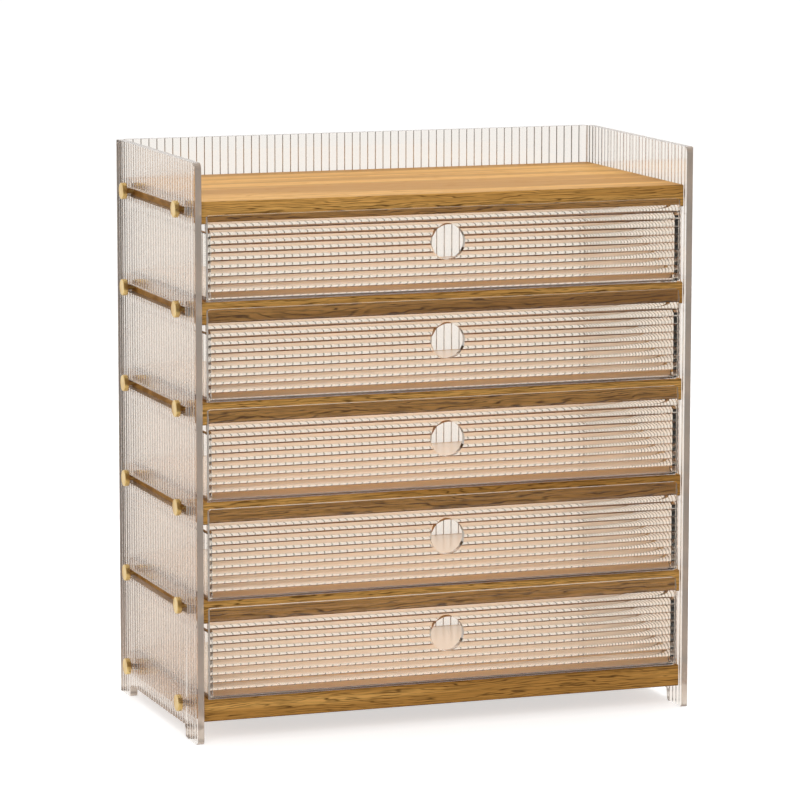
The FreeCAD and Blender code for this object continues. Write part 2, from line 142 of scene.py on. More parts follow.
class Link:
    """A node's output that takes part in Python arithmetic."""

    def __init__(self, build, socket):
        self.build = build
        self.socket = socket

    def maths(self, kind, *others):
        return self.build.add("ShaderNodeMath", {"operation": kind}, [self, *others])

    def __add__(self, other):
        return self.maths("ADD", other)

    __radd__ = __add__

    def __mul__(self, other):
        return self.maths("MULTIPLY", other)

    __rmul__ = __mul__

    def __sub__(self, other):
        return self.maths("SUBTRACT", other)

    def __rsub__(self, other):
        return self.build.add("ShaderNodeMath", {"operation": "SUBTRACT"}, [other, self])

    def __truediv__(self, other):
        return self.maths("DIVIDE", other)

    def __pow__(self, other):
        return self.maths("POWER", other)

    def above(self, limit):
        return self.maths("GREATER_THAN", limit)

    def below(self, limit):
        return self.maths("LESS_THAN", limit)

    def spread(self, low, high):
        """0 at low and 1 at high, level beyond them."""
        settings = {"interpolation_type": "SMOOTHSTEP"}
        sockets = {"Value": self, "From Min": low, "From Max": high}
        return self.build.add("ShaderNodeMapRange", settings, sockets)


class Build:
    """Adds nodes to a tree: a type, its settings, and the values or links of its sockets."""

    def __init__(self, tree):
        self.tree = tree

    def add(self, kind, settings=None, sockets=(), output=0):
        node = self.tree.nodes.new(kind)
        for name, setting in (settings or {}).items():
            if name == "stops":
                self.set_stops(node, setting)
            else:
                setattr(node, name, setting)
        pairs = sockets.items() if isinstance(sockets, dict) else enumerate(sockets)
        for name, given in pairs:
            self.feed(node.inputs[name], given)
        return Link(self, node.outputs[output])

    def set_stops(self, node, stops):
        ramp = node.color_ramp
        while len(ramp.elements) < len(stops):
            ramp.elements.new(1.0)
        for element, (position, colour) in zip(ramp.elements, stops):
            element.position = position
            element.color = (*colour, 1.0)

    def feed(self, socket, given):
        if isinstance(given, Link):
            self.tree.links.new(given.socket, socket)
        else:
            socket.default_value = given

    def mix(self, factor, first, second, blend="MIX"):
        """Blend of two colours."""
        settings = {"data_type": "RGBA", "blend_type": blend}
        node = self.tree.nodes.new("ShaderNodeMix")
        for name, setting in settings.items():
            setattr(node, name, setting)
        for index, given in ((0, factor), (6, first), (7, second)):
            self.feed(node.inputs[index], given)
        return Link(self, node.outputs[2])


class Finish(Build):
    """A material with one Principled shader."""

    def __init__(self, name, **constants):
        self.material = bpy.data.materials.new(name)
        self.material.use_nodes = True
        super().__init__(self.material.node_tree)
        self.shader = self.tree.nodes["Principled BSDF"]
        self.output = self.tree.nodes["Material Output"]
        for socket, constant in constants.items():
            self.shader.inputs[socket.replace("_", " ")].default_value = constant
        self.place = self.add("ShaderNodeTexCoord", {}, [], "Object")

    def scaled(self, x, y, z, turn=(0, 0, 0), shift=(0, 0, 0)):
        sockets = {"Vector": self.place, "Scale": (x, y, z), "Rotation": turn, "Location": shift}
        return self.add("ShaderNodeMapping", {}, sockets)

    def noise(self, vector, scale, detail=2.0, rough=0.5, warp=0.0):
        sockets = {
            "Vector": vector, "Scale": scale, "Detail": detail, "Roughness": rough,
            "Distortion": warp}
        return self.add("ShaderNodeTexNoise", {}, sockets, "Fac")

    def bump(self, height, distance, strength=1.0):
        sockets = {"Height": height, "Distance": distance, "Strength": strength}
        self.feed(self.shader.inputs["Normal"], self.add("ShaderNodeBump", {}, sockets))

    def drive(self, **links):
        for socket, link in links.items():
            self.feed(self.shader.inputs[socket.replace("_", " ")], link)


# ---------------------------------------------------------------- finishes

def acrylic_finish(name, tint, density=0.0, satin=0.0, haze=0.0, foot=None):
    """Clear acrylic with wipe marks.

    satin roughens it, haze clouds it, density tints it where it is thick, and foot is its
    tint near the floor.
    """
    finish = Finish(
        name, IOR=ACRYLIC_IOR, Transmission_Weight=1.0 - haze, Base_Color=(*tint, 1.0))
    wipes = finish.noise(finish.scaled(9, 9, 30, turn=(0.3, 0.5, 0.2)), 1.0, 3.0)
    finish.drive(Roughness=wipes.spread(0.6, 0.8) * 0.02 + satin)
    if foot:
        height = finish.add("ShaderNodeSeparateXYZ", {}, [finish.place], 2)
        rise = height.spread(FOOT_TINT_LEVEL * MM, HEIGHT * MM)
        finish.drive(Base_Color=finish.mix(rise, (*foot, 1.0), (*tint, 1.0)))
    lamps = finish.add("ShaderNodeLightPath", {}, [], "Is Shadow Ray")
    clear = finish.add("ShaderNodeBsdfTransparent", {}, [(0.975, 0.965, 0.95, 1.0)])
    shell = Link(finish, finish.shader.outputs[0])
    both = finish.add("ShaderNodeMixShader", {}, [lamps, shell, clear])
    finish.feed(finish.output.inputs["Surface"], both)
    if density:
        sockets = {"Color": (*AMBER, 1.0), "Density": density}
        depth = finish.add("ShaderNodeVolumeAbsorption", {}, sockets)
        finish.feed(finish.output.inputs["Volume"], depth)
    return finish.material


def oak_finish():
    """Oiled oak with its grain along X: soft bands, darker late wood and open pores.

    The front faces also have flecks and darker pores, and the undersides are darkened with painted shade.
    """
    finish = Finish("oiled_oak", IOR=1.45, Specular_IOR_Level=0.15)
    depth = finish.add("ShaderNodeSeparateXYZ", {}, [finish.place], 1)
    height = finish.add("ShaderNodeSeparateXYZ", {}, [finish.place], 2)
    edge = depth.below((FRONT_Y + 5.6) * MM)
    wander = finish.noise(finish.scaled(2.2, 9, 9), 1.0, 2.0) - 0.5
    bands = finish.noise(finish.scaled(1.1, 34, 60), 1.0, 5.0, 0.6, 0.9)
    fine = finish.noise(finish.scaled(9, 420, 420), 1.0, 3.0, 0.7)
    sway = finish.noise(finish.scaled(7, 22, 60, shift=(0.3, 0.1, 0.6)), 1.0, 4.0, 0.6)
    faint = finish.noise(finish.scaled(32, 160, 700), 1.0, 3.0, 0.7)
    rings = (height * 560 + depth * 60 + sway * 12 + fine * 1.0).maths("FRACT") * 2 - 1
    late = (1 - rings.maths("ABSOLUTE")).spread(0.5, 1.0) * faint.spread(0.34, 0.58)
    pale = (0.87, 0.485, 0.135)
    middle = (0.57, 0.28, 0.062)
    deep = (0.11, 0.05, 0.01)
    tone = (bands + wander * 0.35).spread(0.42, 0.60)
    colour = finish.mix(tone, (*pale, 1.0), (*middle, 1.0))
    colour = finish.mix(fine.spread(0.42, 0.7) * 0.5, colour, (*middle, 1.0))
    flecks = finish.noise(finish.scaled(45, 300, 1300), 1.0, 2.0, 0.6).spread(0.42, 0.66)
    colour = finish.mix(flecks * edge * 0.55, colour, (0.30, 0.15, 0.035, 1.0))
    faces = Link(finish, finish.tree.nodes.new("ShaderNodeNewGeometry").outputs["True Normal"])
    # Painted shade: faces that look down are darkened towards dark brown.
    underside_shade = finish.add("ShaderNodeSeparateXYZ", {}, [faces], 2).below(-0.5)
    colour = finish.mix(underside_shade * 0.55, colour, (0.20, 0.085, 0.02, 1.0))
    line = finish.mix(edge, (0.50, 0.225, 0.04, 1.0), (*deep, 1.0))
    pores = late * (edge * 0.5 + 0.4)
    colour = finish.mix(pores, colour, line)
    finish.drive(Base_Color=colour, Roughness=0.5 + pores * 0.15 - fine * 0.06)
    finish.bump((1 - pores) * 0.6 + fine * 0.4, 0.0002, 0.6)
    return finish.material


def brass_finish():
    """Brass with a fine grain and a little darkening."""
    finish = Finish("turned_brass", Metallic=1.0)
    stain = finish.noise(finish.scaled(140, 140, 140), 1.0, 3.0)
    grain = finish.noise(finish.scaled(300, 2600, 2600), 1.0, 1.0)
    colour = finish.mix(stain.spread(0.35, 0.8), (0.83, 0.60, 0.25, 1.0), (0.66, 0.42, 0.13, 1.0))
    finish.drive(Base_Color=colour, Roughness=0.2 + stain * 0.12 + grain * 0.06)
    finish.bump(grain, 0.00003, 0.5)
    return finish.material


AMBER = (0.62, 0.50, 0.40)
SHEET_ACRYLIC = acrylic_finish(
    "fluted_sheet_acrylic", (0.988, 0.957, 0.912), SHEET_DENSITY, foot=(0.948, 0.885, 0.82))
# Painted shade: brown tint for the left-looking flute steps of the back panel, a painted dark line on each
# flute.
BACK_FLUTE_PAINTED_SHADE_ACRYLIC = acrylic_finish("back_valley_acrylic", (0.78, 0.62, 0.46), SHEET_DENSITY)
CUT_ACRYLIC = acrylic_finish(
    "cut_edge_acrylic", (0.93, 0.81, 0.70), SHEET_DENSITY, satin=0.22, haze=0.4)
FRONT_ACRYLIC = acrylic_finish("drawer_front_acrylic", (0.987, 0.952, 0.892), FRONT_DENSITY)
FRONT_END_ACRYLIC = acrylic_finish(
    "front_end_acrylic", (0.97, 0.93, 0.88), FRONT_DENSITY, satin=0.2, haze=0.6)
# Painted shade: dark brown tint for the downward-looking flute steps of a drawer front, a painted line for
# the shaded board underside seen through the flutes.
FLUTE_PAINTED_SHADE_ACRYLIC = acrylic_finish("flute_valley_acrylic", (0.66, 0.38, 0.22), FRONT_DENSITY)
TRAY_ACRYLIC = acrylic_finish("tray_acrylic", (0.995, 0.99, 0.98))
TRAY_FLOOR_ACRYLIC = acrylic_finish(
    "satin_tray_floor_acrylic", (0.97, 0.80, 0.62), satin=0.2, haze=0.5)
TRAY_LIP_ACRYLIC = acrylic_finish(
    "matt_tray_lip_acrylic", (0.85, 0.53, 0.24), satin=0.45, haze=0.5)
OAK = oak_finish()
BRASS = brass_finish()


# ---------------------------------------------------------------- shared mesh work

def finish_piece(piece, material, body, nodes, sharp=None):
    """A finish, and the body and nodes a piece belongs to; smooth up to the sharp angle."""
    mesh = piece.data
    if sharp:
        mesh.shade_smooth()
        mesh.set_sharp_from_angle(angle=math.radians(sharp))
    if not mesh.materials:
        mesh.materials.append(material)
    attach(piece, body)
    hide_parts(*nodes)
    return piece


def refinish(piece, material, chosen):
    """Another finish on the faces of a piece whose direction is chosen."""
    piece.data.materials.append(material)
    slot = len(piece.data.materials) - 1
    for part in piece.data.polygons:
        if chosen(part.normal):
            part.material_index = slot
    return piece


def new_object(name, mesh):
    piece = bpy.data.objects.new(name, mesh)
    scene.collection.objects.link(piece)
    return piece


def ease(work, edges, radius, segments):
    """Round some edges; the flat faces between them stay flat in shading."""
    rounded = bmesh.ops.bevel(
        work, geom=edges, offset=radius * MM, segments=segments, profile=0.5, affect="EDGES")
    for made in rounded["faces"]:
        made.smooth = True


def object_from(name, work):
    """Object of a bmesh, with faces outwards."""
    bmesh.ops.recalc_face_normals(work, faces=work.faces)
    mesh = bpy.data.meshes.new(name)
    work.to_mesh(mesh)
    work.free()
    return new_object(name, mesh)


def arc(centre, radius, first, last, steps):
    """Points round a centre, from one angle to another, in degrees."""
    turns = [math.radians(first + (last - first) * step / steps) for step in range(steps + 1)]
    x, y = centre
    return [(x + radius * math.cos(turn), y + radius * math.sin(turn)) for turn in turns]


def ring(x, y, radius, steps):
    return arc((x, y), radius, 0, 360 - 360 / steps, steps - 1)


def holds(loop, point):
    """Whether a closed loop goes round a point."""
    x, y = point
    inside = False
    for (x1, y1), (x2, y2) in zip(loop, loop[1:] + loop[:1]):
        if (y1 > y) != (y2 > y) and x < (x2 - x1) * (y - y1) / (y2 - y1) + x1:
            inside = not inside
    return inside


# ---------------------------------------------------------------- fluted sheets

def flute_row(length, pitch, start=None):
    """Start and number of the whole flutes on a length; centred when no start is given."""
    count = math.floor((length - (start or 0)) / pitch)
    return (length - count * pitch) / 2 if start is None else start, count


def flat_cells(loops, cuts):
    """Triangles inside the first loop and outside the others, split along the cuts."""
    points = []
    edges = []
    for loop in loops:
        base = len(points)
        points.extend(Vector(point) for point in loop)
        edges.extend((base + k, base + (k + 1) % len(loop)) for k in range(len(loop)))
    for first, last in cuts:
        edges.append((len(points), len(points) + 1))
        points.extend((Vector(first), Vector(last)))
    found, _, cells, _, _, _ = delaunay_2d_cdt(points, edges, [], 0, 1e-4)
    kept = []
    for cell in cells:
        middle = sum((found[k] for k in cell), Vector((0, 0))) / len(cell)
        if holds(loops[0], middle) and not any(holds(loop, middle) for loop in loops[1:]):
            kept.append(cell)
    return found, kept


def flat_sheet(name, loops, cuts, place):
    """Closed sheet; place(u, v, side) gives a point of its fluted (0) or plain (1) face."""
    points, cells = flat_cells(loops, cuts)
    work = bmesh.new()
    fluted = work.verts.layers.float.new("fluted")
    faces = [{}, {}]
    for side in (0, 1):
        for cell in cells:
            for k in cell:
                if k not in faces[side]:
                    faces[side][k] = work.verts.new(Vector(place(*points[k], side)) * MM)
                    faces[side][k][fluted] = 1 - side
            work.faces.new([faces[side][k] for k in cell])
    rims = {}
    for cell in cells:
        for first, last in zip(cell, cell[1:] + cell[:1]):
            rims[(first, last)] = (last, first) not in rims
            if not rims[(first, last)]:
                rims[(last, first)] = False
    for (first, last), is_rim in rims.items():
        if is_rim:
            near, far = faces
            work.faces.new((near[first], near[last], far[last], far[first]))
    return object_from(name, work)


def flute_tree():
    """Raises flutes on the marked face of a flat sheet: shallow arcs of a circle."""
    tree = bpy.data.node_groups.new("arc_flutes", "GeometryNodeTree")
    face = tree.interface
    face.new_socket("Geometry", in_out="OUTPUT", socket_type="NodeSocketGeometry")
    face.new_socket("Sheet", in_out="INPUT", socket_type="NodeSocketGeometry")
    for name in ("Pitch", "Rise", "First Flute", "Flutes"):
        face.new_socket(name, in_out="INPUT", socket_type="NodeSocketFloat")
    for name in ("Across", "Outward"):
        face.new_socket(name, in_out="INPUT", socket_type="NodeSocketVector")
    face.new_socket("Finish", in_out="INPUT", socket_type="NodeSocketMaterial")
    build = Build(tree)
    given = tree.nodes.new("NodeGroupInput")
    sheet, pitch, rise, first, flutes, across, outward, material = (
        Link(build, given.outputs[k]) for k in range(8))
    position = build.add("GeometryNodeInputPosition")
    along = build.add(
        "ShaderNodeVectorMath", {"operation": "DOT_PRODUCT"}, [position, across], "Value")
    turns = (along - first) / pitch
    marked = build.add(
        "GeometryNodeInputNamedAttribute", {"data_type": "FLOAT"}, {"Name": "fluted"})
    inside = turns.above(0.0) * turns.below(flutes) * marked
    out = (turns.maths("FRACT") - 0.5) * pitch
    radius = (pitch * pitch / 4 + rise * rise) / (rise * 2)
    chord = (radius * radius - out * out).maths("MAXIMUM", 0.0).maths("SQRT")
    lift = (chord - radius + rise).maths("MAXIMUM", 0.0) * inside
    offset = build.add(
        "ShaderNodeVectorMath", {"operation": "SCALE"}, {"Vector": outward, "Scale": lift})
    raised = build.add("GeometryNodeSetPosition", {}, {"Geometry": sheet, "Offset": offset})
    whole = build.add("GeometryNodeRealizeInstances", {}, [raised])
    dressed = build.add("GeometryNodeSetMaterial", {}, {"Geometry": whole, "Material": material})
    build.feed(tree.nodes.new("NodeGroupOutput").inputs[0], dressed)
    return tree


def settled(piece, tree, **inputs):
    """Plain mesh of a piece after a node tree has worked on it."""
    modifier = piece.modifiers.new(tree.name, "NODES")
    modifier.node_group = tree
    for item in tree.interface.items_tree:
        name = item.name.replace(" ", "_")
        if item.in_out == "INPUT" and name in inputs:
            modifier[item.identifier] = inputs[name]
    bpy.context.view_layer.update()
    graph = bpy.context.evaluated_depsgraph_get()
    mesh = bpy.data.meshes.new_from_object(piece.evaluated_get(graph))
    piece.modifiers.clear()
    piece.data = mesh
    mesh.name = piece.name
    return piece


FLUTES = flute_tree()


def flute_cuts(row, pitch, low, high, upright):
    """Lines along which the fluted face bends."""
    start, count = row
    cuts = []
    for step in range(count * FLUTE_STEPS + 1):
        at = start + pitch * step / FLUTE_STEPS
        cuts.append(((at, low), (at, high)) if upright else ((low, at), (high, at)))
    return cuts


def fluted(piece, row, pitch, corner, across, outward, material):
    """Raise the flutes; corner is where the row's length begins, in millimetres."""
    start, count = row
    return settled(
        piece, FLUTES, Pitch=pitch * MM, Rise=FLUTE_RISE * MM, Flutes=float(count),
        First_Flute=(corner + start) * MM, Across=across, Outward=outward, Finish=material)


def board_bottom(level):
    """Underside of a board; level 0 is the bottom shelf, 5 the top shelf."""
    return GROUND_GAP + level * LEVEL_PITCH


def side_outline():
    """Side panel seen from the side: rounded top corners and a notch between two feet."""
    radius = CORNER_RADIUS
    far = DEPTH - FOOT_LENGTH
    outline = arc((FOOT_RADIUS, FOOT_RADIUS), FOOT_RADIUS, 180, 270, 6)
    outline += arc((FOOT_LENGTH - FOOT_RADIUS, FOOT_RADIUS), FOOT_RADIUS, 270, 360, 6)
    notch = FOOT_HEIGHT - NOTCH_RADIUS
    outline += arc((FOOT_LENGTH + NOTCH_RADIUS, notch), NOTCH_RADIUS, 180, 90, 6)
    outline += arc((far - NOTCH_RADIUS, notch), NOTCH_RADIUS, 90, 0, 6)
    outline += arc((far + FOOT_RADIUS, FOOT_RADIUS), FOOT_RADIUS, 180, 270, 6)
    outline += arc((DEPTH - FOOT_RADIUS, FOOT_RADIUS), FOOT_RADIUS, 270, 360, 6)
    outline += arc((DEPTH - radius, HEIGHT - radius), radius, 0, 90, 8)
    outline += arc((radius, HEIGHT - radius), radius, 90, 180, 8)
    return outline


def side_openings():
    """Slots beside the upper boards and the two screw holes beside the lowest."""
    openings = []
    for level in range(1, DRAWERS + 1):
        low = board_bottom(level) + (BOARD - SLOT_HEIGHT) / 2
        high = low + SLOT_HEIGHT
        far = DEPTH - SLOT_REAR
        openings.append([(SLOT_FRONT, low), (far, low), (far, high), (SLOT_FRONT, high)])
    for along in (SCREW_FRONT, DEPTH - SCREW_REAR):
        openings.append(ring(along, GROUND_GAP + BOARD / 2, SHANK_RADIUS + HOLE_PLAY, SCREW_HOLE_STEPS))
    return openings


def make_side_panel(side):
    """Side panel with upright flutes outside."""
    name = "left" if side == LEFT else "right"
    valley = side * (WIDTH / 2 - FLUTE_RISE)
    plain = side * INNER_HALF

    def place(u, v, face):
        return (plain if face else valley, FRONT_Y + u, v)

    row = flute_row(DEPTH, SHEET_PITCH)
    cuts = flute_cuts(row, SHEET_PITCH, -CUT_REACH, HEIGHT + CUT_REACH, upright=True)
    panel = flat_sheet(name + "_fluted_panel", [side_outline(), *side_openings()], cuts, place)
    fluted(panel, row, SHEET_PITCH, FRONT_Y, (0, 1, 0), (side, 0, 0), SHEET_ACRYLIC)
    finish_piece(panel, SHEET_ACRYLIC, "frame", [name + "_side_panel"], SMOOTH)
    return refinish(panel, CUT_ACRYLIC, lambda normal: abs(normal.x) < OFF_PLANE)


def make_back_panel():
    """Back panel between the sides, upright flutes to the rear."""
    width = 2 * INNER_HALF
    height = HEIGHT - GROUND_GAP
    valley = REAR_Y - FLUTE_RISE
    plain = REAR_Y - SHEET

    def place(u, v, face):
        return (-INNER_HALF + u, plain if face else valley, GROUND_GAP + v)

    near, far = SHEET_FREE, width - SHEET_FREE
    outline = [(near, 0), (far, 0), (far, height), (near, height)]
    holes = []
    for level in (0, DRAWERS):
        for x in (BACK_SCREW_MARGIN, width / 2, width - BACK_SCREW_MARGIN):
            holes.append(ring(x, level * LEVEL_PITCH + BOARD / 2, SHANK_RADIUS + HOLE_PLAY, SCREW_HOLE_STEPS))
    row = flute_row(width, SHEET_PITCH)
    cuts = flute_cuts(row, SHEET_PITCH, -CUT_REACH, height + CUT_REACH, upright=True)
    panel = flat_sheet("back_fluted_panel", [outline, *holes], cuts, place)
    fluted(panel, row, SHEET_PITCH, -INNER_HALF, (1, 0, 0), (0, 1, 0), SHEET_ACRYLIC)
    finish_piece(panel, SHEET_ACRYLIC, "frame", ["back_panel"], SMOOTH)
    # Painted shade: the left-looking flute steps get the brown painted shade line.
    refinish(panel, BACK_FLUTE_PAINTED_SHADE_ACRYLIC, lambda normal: (
        normal.x < BACK_SHADE_STEP and abs(normal.y) > OFF_PLANE))
    return refinish(panel, CUT_ACRYLIC, lambda normal: abs(normal.y) < OFF_PLANE)


# ---------------------------------------------------------------- drawers

def make_drawer_front(number):
    """Front with level flutes outside, rounded corners and a round finger hole."""
    body = "drawer_%d" % number
    low, high = (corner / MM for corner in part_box(body + "_front"))
    width = high.x - low.x
    tall = high.z - low.z
    board_top = board_bottom(DRAWERS - number) + BOARD
    valley = FRONT_Y + FLUTE_RISE
    plain = FRONT_Y + FRONT_THICK

    def place(u, v, face):
        return (low.x + u, plain if face else valley, low.z + v)

    radius = FRONT_CORNER
    outline = arc((radius, radius), radius, 180, 270, 4)
    outline += arc((width - radius, radius), radius, 270, 360, 4)
    outline += arc((width - radius, tall - radius), radius, 0, 90, 4)
    outline += arc((radius, tall - radius), radius, 90, 180, 4)
    hole = ring(width / 2, board_top + FINGER_LEVEL - low.z, FINGER_RADIUS, HOLE_STEPS)
    row = flute_row(tall, FRONT_PITCH, FRONT_START)
    cuts = flute_cuts(row, FRONT_PITCH, -CUT_REACH, width + CUT_REACH, upright=False)
    front = flat_sheet(body + "_fluted_front", [outline, hole], cuts, place)
    fluted(front, row, FRONT_PITCH, low.z, (0, 0, 1), (0, -1, 0), FRONT_ACRYLIC)
    finish_piece(front, FRONT_ACRYLIC, body, [body + "_front"], SMOOTH)
    # Painted shade: the downward-looking flute steps get the dark brown painted shade line.
    refinish(front, FLUTE_PAINTED_SHADE_ACRYLIC, lambda normal: (
        normal.z < FRONT_SHADE_STEP and normal.y < -OFF_PLANE))
    return refinish(front, FRONT_END_ACRYLIC, lambda normal: abs(normal.x) > SQUARE_ON)


def make_tray(number):
    """Two walls, back and floor welded into one open box: clear, with a satin floor that is
    matt behind the drawer front.
    """
    body = "drawer_%d" % number
    nodes = [body + "_" + part for part in ("left_wall", "right_wall", "back_wall", "floor")]
    left, right, back, floor = (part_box(node) for node in nodes)
    x0, x1 = left[0].x, right[1].x
    y0, y1 = left[0].y + GLUE_LINE * MM, max(back[1].y, floor[1].y)
    z0, z1 = floor[0].z, left[1].z
    in0, in1, deep, base = left[1].x, right[0].x, back[0].y, floor[1].z
    lip = y0 + TRAY_LIP * MM
    work = bmesh.new()
    spots = {}

    def face(*corners):
        for corner in corners:
            if corner not in spots:
                spots[corner] = work.verts.new(corner)
        work.faces.new([spots[corner] for corner in corners])

    face((x0, y0, z0), (x1, y0, z0), (x1, y1, z0), (x0, y1, z0))
    face((x0, y0, z0), (x0, y1, z0), (x0, y1, z1), (x0, y0, z1))
    face((x1, y0, z0), (x1, y0, z1), (x1, y1, z1), (x1, y1, z0))
    face((x0, y1, z0), (x1, y1, z0), (x1, y1, z1), (x0, y1, z1))
    face((in0, y0, base), (in0, y0, z1), (in0, deep, z1), (in0, deep, base), (in0, lip, base))
    face((in1, y0, base), (in1, lip, base), (in1, deep, base), (in1, deep, z1), (in1, y0, z1))
    face((in0, deep, base), (in0, deep, z1), (in1, deep, z1), (in1, deep, base))
    face((in0, y0, base), (in0, lip, base), (in1, lip, base), (in1, y0, base))
    face((in0, lip, base), (in0, deep, base), (in1, deep, base), (in1, lip, base))
    face((x0, y0, z1), (x0, y1, z1), (x1, y1, z1), (x1, y0, z1), (in1, y0, z1), (in1, deep, z1),
         (in0, deep, z1), (in0, y0, z1))
    face((x0, y0, z0), (x0, y0, z1), (in0, y0, z1), (in0, y0, base), (in1, y0, base), (in1, y0, z1),
         (x1, y0, z1), (x1, y0, z0))
    work.normal_update()
    ease(work, [edge for edge in work.edges if edge.calc_face_angle(0) > 0.1], TRAY_EDGE, 2)
    tray = object_from(body + "_tray", work)
    finish_piece(tray, TRAY_ACRYLIC, body, nodes)
    tray.data.materials.append(TRAY_FLOOR_ACRYLIC)
    tray.data.materials.append(TRAY_LIP_ACRYLIC)
    for part in tray.data.polygons:
        if part.center.z > base + TRAY_EDGE * MM:
            continue
        if part.normal.z > 0.99:
            part.material_index = 1 if part.center.y > lip else 2
        elif part.normal.y < -0.99:
            part.material_index = 2
    return tray


# ---------------------------------------------------------------- oak boards

def make_board(name):
    """Oak board with its two long front edges rounded."""
    low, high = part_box(name)
    work = bmesh.new()
    bmesh.ops.create_cube(work, size=1.0)
    low.x += BOARD_FREE * MM
    high.x -= BOARD_FREE * MM
    high.y -= BOARD_FREE * MM
    size = high - low
    place = Matrix.Translation((low + high) / 2) @ Matrix.Diagonal((*size, 1))
    bmesh.ops.transform(work, matrix=place, verts=work.verts)
    fronts = []
    for edge in work.edges:
        first, last = (vert.co for vert in edge.verts)
        if abs(first.x - last.x) > size.x / 2 and first.y < (low.y + high.y) / 2:
            fronts.append(edge)
    ease(work, fronts, BOARD_ROUND, 4)
    board = object_from(name + "_oak_board", work)
    return finish_piece(board, OAK, "frame", [name])


# ---------------------------------------------------------------- cap screws

def screw_tree():
    """Stands one screw on every point and turns it to point along its outward attribute."""
    tree = bpy.data.node_groups.new("cap_screw_rows", "GeometryNodeTree")
    face = tree.interface
    face.new_socket("Geometry", in_out="OUTPUT", socket_type="NodeSocketGeometry")
    face.new_socket("Seats", in_out="INPUT", socket_type="NodeSocketGeometry")
    face.new_socket("Screw", in_out="INPUT", socket_type="NodeSocketObject")
    face.new_socket("Size", in_out="INPUT", socket_type="NodeSocketFloat")
    face.new_socket("Finish", in_out="INPUT", socket_type="NodeSocketMaterial")
    build = Build(tree)
    given = tree.nodes.new("NodeGroupInput")
    seats, screw, size, material = (Link(build, given.outputs[k]) for k in range(4))
    shape = build.add(
        "GeometryNodeObjectInfo", {"transform_space": "ORIGINAL"}, {"Object": screw}, "Geometry")
    outward = build.add(
        "GeometryNodeInputNamedAttribute", {"data_type": "FLOAT_VECTOR"}, {"Name": "outward"})
    turn = build.add("FunctionNodeAlignRotationToVector", {"axis": "Z"}, {"Vector": outward})
    rows = build.add("GeometryNodeInstanceOnPoints", {}, {
        "Points": seats, "Instance": shape, "Rotation": turn, "Scale": size})
    whole = build.add("GeometryNodeRealizeInstances", {}, [rows])
    dressed = build.add("GeometryNodeSetMaterial", {}, {"Geometry": whole, "Material": material})
    build.feed(tree.nodes.new("NodeGroupOutput").inputs[0], dressed)
    return tree


def screw_shape():
    """One cap screw along +Z: dished head on the origin plane, shank threaded next to it."""
    sides = SCREW_SIDES
    rows = [(0.0, HEAD_HEIGHT - 0.12)]
    rows += [(HEAD_RADIUS - 1.15, HEAD_HEIGHT - 0.12), (HEAD_RADIUS - 0.95, HEAD_HEIGHT)]
    edge = HEAD_RADIUS - HEAD_EDGE
    for step in range(4):
        turn = math.radians(90 - 30 * step)
        level = HEAD_HEIGHT - HEAD_EDGE + HEAD_EDGE * math.sin(turn)
        rows.append((edge + HEAD_EDGE * math.cos(turn), level))
    rows += [(HEAD_RADIUS, 0.15), (HEAD_RADIUS - 0.15, 0.0), (SHANK_RADIUS, 0.0)]
    threads = THREAD_STEPS * math.ceil((SHEET + 2) / THREAD_LEAD)
    for step in range(1, threads + 1):
        rows.append((None, -step * THREAD_LEAD / THREAD_STEPS))
    core = SHANK_RADIUS - THREAD_DEPTH
    rows += [(core, rows[-1][1] - 0.3)]
    tip = -(SHEET + SHANK_REACH)
    rows += [(core, tip + 0.5), (core - 0.5, tip), (0.0, tip)]
    work = bmesh.new()
    loops = []
    for radius, z in rows:
        if radius == 0.0:
            loops.append([work.verts.new((0, 0, z * MM))])
            continue
        loop = []
        for side in range(sides):
            turn = 2 * math.pi * side / sides
            at = radius
            if radius is None:
                phase = (z / THREAD_LEAD + side / sides) % 1.0
                at = SHANK_RADIUS - THREAD_DEPTH * abs(2 * phase - 1)
            spot = (at * math.cos(turn) * MM, at * math.sin(turn) * MM, z * MM)
            loop.append(work.verts.new(spot))
        loops.append(loop)
    for upper, lower in zip(loops, loops[1:]):
        for side in range(sides):
            after = (side + 1) % sides
            corners = [
                upper[side % len(upper)], lower[side % len(lower)],
                lower[after % len(lower)], upper[after % len(upper)]]
            work.faces.new(list(dict.fromkeys(corners)))
    return object_from("cap_screw", work)


def screw_seats():
    """Where a head stands and which way it points."""
    seats = []
    for level in range(DRAWERS + 1):
        z = board_bottom(level) + BOARD / 2
        for side in (LEFT, RIGHT):
            for along in (SCREW_FRONT, DEPTH - SCREW_REAR):
                seats.append(((side * WIDTH / 2, FRONT_Y + along, z), (side, 0, 0)))
    for level in (0, DRAWERS):
        z = board_bottom(level) + BOARD / 2
        for x in (BACK_SCREW_MARGIN - INNER_HALF, 0, INNER_HALF - BACK_SCREW_MARGIN):
            seats.append(((x, REAR_Y, z), (0, 1, 0)))
    return seats


def make_screws():
    """All cap screws as one piece."""
    seats = screw_seats()
    mesh = bpy.data.meshes.new("cap_screws")
    mesh.from_pydata([Vector(spot) * MM for spot, _ in seats], [], [])
    outward = mesh.attributes.new("outward", "FLOAT_VECTOR", "POINT")
    for item, (_, way) in zip(outward.data, seats):
        item.vector = way
    rows = new_object("cap_screws", mesh)
    shape = screw_shape()
    settled(rows, screw_tree(), Screw=shape, Size=1.0, Finish=BRASS)
    bpy.data.objects.remove(shape)
    nodes = [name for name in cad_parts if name.endswith("screws")]
    return finish_piece(rows, BRASS, "frame", nodes, SMOOTH)


# ---------------------------------------------------------------- the organizer

make_side_panel(LEFT)
make_side_panel(RIGHT)
make_back_panel()
for number in range(1, DRAWERS + 1):
    make_drawer_front(number)
    make_tray(number)
for shelf in ("top_shelf", "shelf_2", "shelf_3", "shelf_4", "shelf_5", "bottom_shelf"):
    make_board(shelf)
make_screws()


# ---------------------------------------------------------------- floor, light and camera

